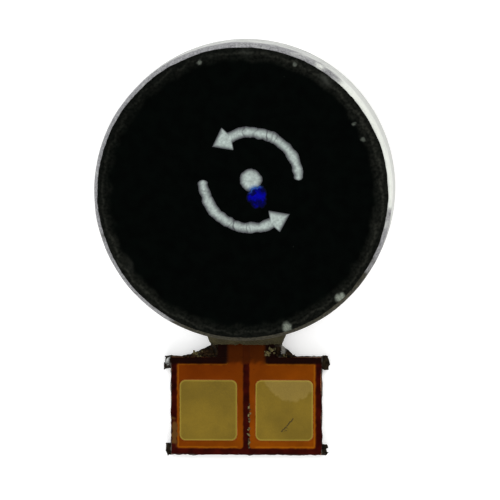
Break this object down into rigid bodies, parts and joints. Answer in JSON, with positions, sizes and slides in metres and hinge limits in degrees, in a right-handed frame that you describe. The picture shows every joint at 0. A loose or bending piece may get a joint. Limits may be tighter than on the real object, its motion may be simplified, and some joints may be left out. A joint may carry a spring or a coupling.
{
  "type": "vibration coin motor",
  "caption": "Round flat vibration motor: steel case with a printed film, an off-centre weighted rotor inside, and a flexible circuit tail with contact pads.",
  "frame": {"origin": "on the shaft's axis, at the mounting tape's back face", "axes": "+Z along the shaft from the mounting face to the printed face, -Y towards the contact tail, +X to the right seen from the printed face with the tail down"},
  "size_m": [0.01, 0.014, 0.0029],
  "materials": {
    "adhesive_tape": "dull",
    "bracket_steel": "satin",
    "case_steel": "satin",
    "weld_metal": "dull",
    "shaft_steel": "polished",
    "magnet_plating": "satin",
    "bond_adhesive": "dull",
    "polyimide": "gloss",
    "copper": "satin",
    "gold_plating": "satin",
    "solder": "satin",
    "brush_alloy": "satin",
    "label_black": "dull",
    "white_ink": "dull",
    "blue_ink": "satin",
    "sealant": "satin",
    "sintered_bronze": "dull",
    "board_laminate": "satin",
    "tungsten_alloy": "dull",
    "moulding_resin": "dull",
    "enamelled_copper": "gloss",
    "washer_film": "satin"
  },
  "bodies": {
    "motor_base": {"mounting_tape": "adhesive_tape", "bracket": "bracket_steel", "case": "case_steel", "weld_spots": "weld_metal", "shaft": "shaft_steel", "ring_magnet": "magnet_plating", "fpc_bond_sheet": "bond_adhesive", "fpc_base_film": "polyimide", "fpc_coverlay": "polyimide", "copper_trace_left": "copper", "copper_trace_right": "copper", "terminal_pad_left": "gold_plating", "terminal_pad_right": "gold_plating", "brush_solder": "solder", "brush_base_left": "brush_alloy", "brush_base_right": "brush_alloy", "label_film": "label_black", "direction_mark": "white_ink", "inspection_dot": "blue_ink", "exit_sealant": "sealant"},
    "rotor": {"bush": "sintered_bronze", "commutator_board": "board_laminate", "commutator_segments": "gold_plating", "counterweight": "tungsten_alloy", "rotor_moulding": "moulding_resin", "coil_left": "enamelled_copper", "coil_right": "enamelled_copper", "coil_solder_joints": "solder", "coil_leads": "enamelled_copper"},
    "lower_washer": {"lower_thrust_washer": "washer_film"},
    "upper_washer": {"upper_thrust_washer": "washer_film"},
    "brush_left": {"brush_arm_left": "brush_alloy"},
    "brush_right": {"brush_arm_right": "brush_alloy"}
  },
  "joints": [
    {"name": "rotor_spin", "type": "hinge", "parent": "motor_base", "child": "rotor", "pos_m": [0, 0, 0.0016], "axis": [0, 0, 1], "continuous": true},
    {"name": "lower_washer_spin", "type": "hinge", "parent": "motor_base", "child": "lower_washer", "pos_m": [0, 0, 0.00086], "axis": [0, 0, 1], "continuous": true},
    {"name": "upper_washer_spin", "type": "hinge", "parent": "motor_base", "child": "upper_washer", "pos_m": [0, 0, 0.00252], "axis": [0, 0, 1], "continuous": true},
    {"name": "brush_left_flex", "type": "hinge", "parent": "motor_base", "child": "brush_left", "pos_m": [-0.00143, 0.00071, 0.00044], "axis": [0.9747, 0.2236, 0], "range_deg": [0, 1.8]},
    {"name": "brush_right_flex", "type": "hinge", "parent": "motor_base", "child": "brush_right", "pos_m": [0.00143, 0.00071, 0.00044], "axis": [0.9747, -0.2236, 0], "range_deg": [0, 1.8]}
  ]
}
